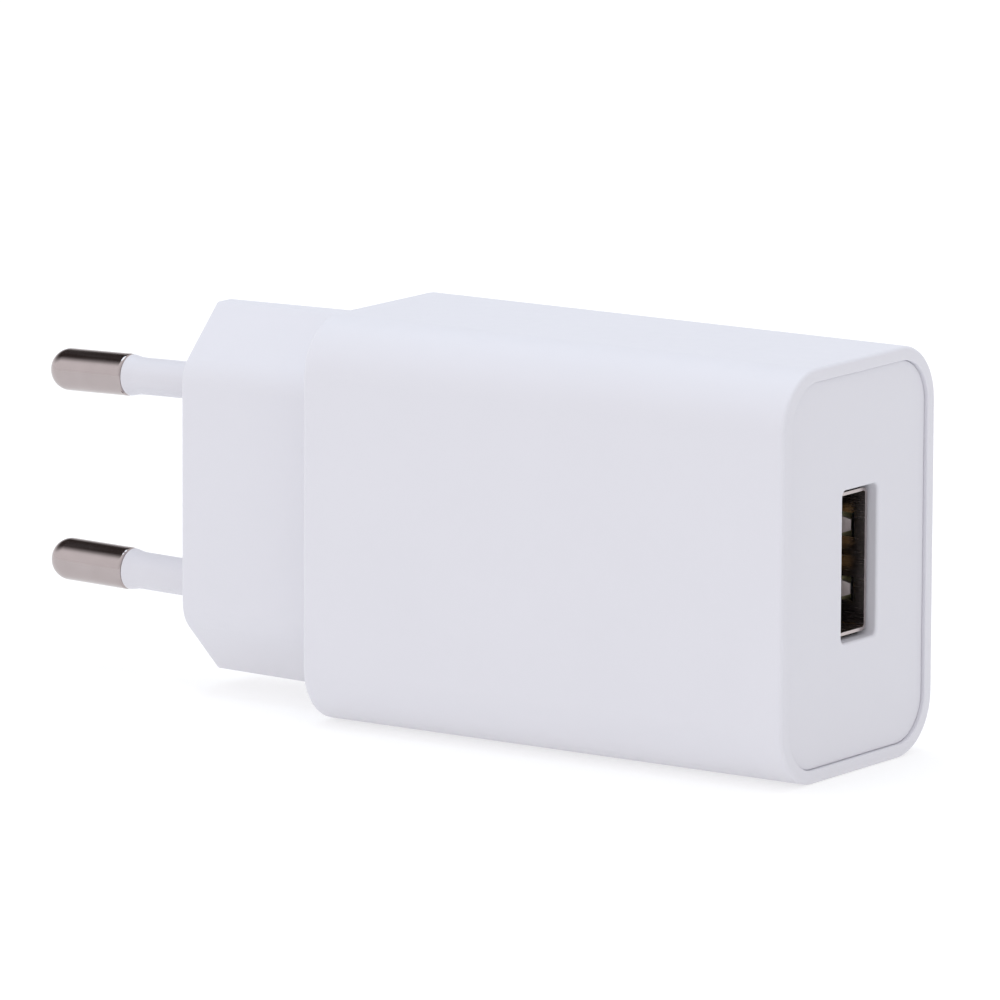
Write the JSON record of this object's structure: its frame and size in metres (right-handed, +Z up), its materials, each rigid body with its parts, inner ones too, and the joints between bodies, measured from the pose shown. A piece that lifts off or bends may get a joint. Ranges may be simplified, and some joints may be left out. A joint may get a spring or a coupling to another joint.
{
  "type": "usb wall charger",
  "caption": "Slim mains charger block with a flat two-pin plug section at one end and a USB-A socket in the other.",
  "frame": {"origin": "centre of the engagement face, midway between the two pins", "axes": "+X out of the wall socket towards the USB face, +Z up from the lower pin to the upper, +Y across the thickness"},
  "size_m": [0.0901, 0.0252, 0.0378],
  "materials": {
    "white_plastic": "smooth, soft gloss",
    "sleeve_plastic": "smooth, soft gloss",
    "pin_nickel": "nickel plated, polished",
    "holder_plastic": "moulded",
    "shell_steel": "tin plated sheet",
    "port_plastic": "moulded, black",
    "contact_gold": "flash gold plated",
    "contact_bronze": "phosphor bronze strip",
    "board_laminate": "solder mask",
    "solder": "bright tin solder",
    "film": "polyester film",
    "resistor_body": "cement coated",
    "varistor_epoxy": "dipped epoxy",
    "safety_cap_epoxy": "dipped epoxy",
    "black_epoxy": "moulded epoxy",
    "ferrite": "sintered ferrite",
    "copper": "enamelled wire",
    "can_sleeve": "shrink sleeve over aluminium",
    "bobbin_plastic": "phenolic",
    "yellow_tape": "polyester tape",
    "chip_ceramic": "ceramic"
  },
  "bodies": {
    "charger": {"housing": "white_plastic", "front_cap": "white_plastic", "pin_holder": "holder_plastic", "pin_upper": "pin_nickel", "pin_lower": "pin_nickel", "pin_sleeve_upper": "sleeve_plastic", "pin_sleeve_lower": "sleeve_plastic", "mains_contact_upper": "contact_bronze", "mains_contact_lower": "contact_bronze", "usb_shell": "shell_steel", "usb_insulator": "port_plastic", "usb_contact_tails": "contact_gold", "main_board": "board_laminate", "solder_joints": "solder", "insulation_sheet": "film", "fusible_resistor": "resistor_body", "varistor": "varistor_epoxy", "safety_capacitor": "safety_cap_epoxy", "bridge_rectifier": "black_epoxy", "controller_chip": "black_epoxy", "output_rectifier_chip": "black_epoxy", "filter_choke_core": "ferrite", "filter_choke_winding": "copper", "bulk_capacitor_upper": "can_sleeve", "bulk_capacitor_lower": "can_sleeve", "output_capacitor_upper": "can_sleeve", "output_capacitor_lower": "can_sleeve", "transformer_core_plug_side": "ferrite", "transformer_core_usb_side": "ferrite", "transformer_bobbin": "bobbin_plastic", "transformer_pins": "solder", "transformer_winding": "copper", "transformer_winding_tape": "yellow_tape", "transformer_core_band": "yellow_tape", "chip_resistors": "black_epoxy", "chip_capacitors": "chip_ceramic"},
    "contact_1": {"usb_contact_1": "contact_gold"},
    "contact_2": {"usb_contact_2": "contact_gold"},
    "contact_3": {"usb_contact_3": "contact_gold"},
    "contact_4": {"usb_contact_4": "contact_gold"},
    "grip_near": {"usb_grip_fingers_near": "shell_steel"},
    "grip_far": {"usb_grip_fingers_far": "shell_steel"}
  },
  "joints": [
    {"name": "contact_1_spring", "type": "hinge", "parent": "charger", "child": "contact_1", "pos_m": [0.06075, -0.00006, -0.0035], "axis": [0, 0, -1], "range_deg": [0, 5], "stiffness_Nm_per_rad": 0.045},
    {"name": "contact_2_spring", "type": "hinge", "parent": "charger", "child": "contact_2", "pos_m": [0.06075, -0.00006, -0.001], "axis": [0, 0, -1], "range_deg": [0, 5], "stiffness_Nm_per_rad": 0.045},
    {"name": "contact_3_spring", "type": "hinge", "parent": "charger", "child": "contact_3", "pos_m": [0.06075, -0.00006, 0.001], "axis": [0, 0, -1], "range_deg": [0, 5], "stiffness_Nm_per_rad": 0.045},
    {"name": "contact_4_spring", "type": "hinge", "parent": "charger", "child": "contact_4", "pos_m": [0.06075, -0.00006, 0.0035], "axis": [0, 0, -1], "range_deg": [0, 5], "stiffness_Nm_per_rad": 0.045},
    {"name": "grip_near_spring", "type": "hinge", "parent": "charger", "child": "grip_near", "pos_m": [0.06295, -0.00226, 0], "axis": [0, 0, -1], "range_deg": [0, 5], "stiffness_Nm_per_rad": 0.15},
    {"name": "grip_far_spring", "type": "hinge", "parent": "charger", "child": "grip_far", "pos_m": [0.06295, 0.00316, 0], "axis": [0, 0, 1], "range_deg": [0, 5], "stiffness_Nm_per_rad": 0.15}
  ]
}
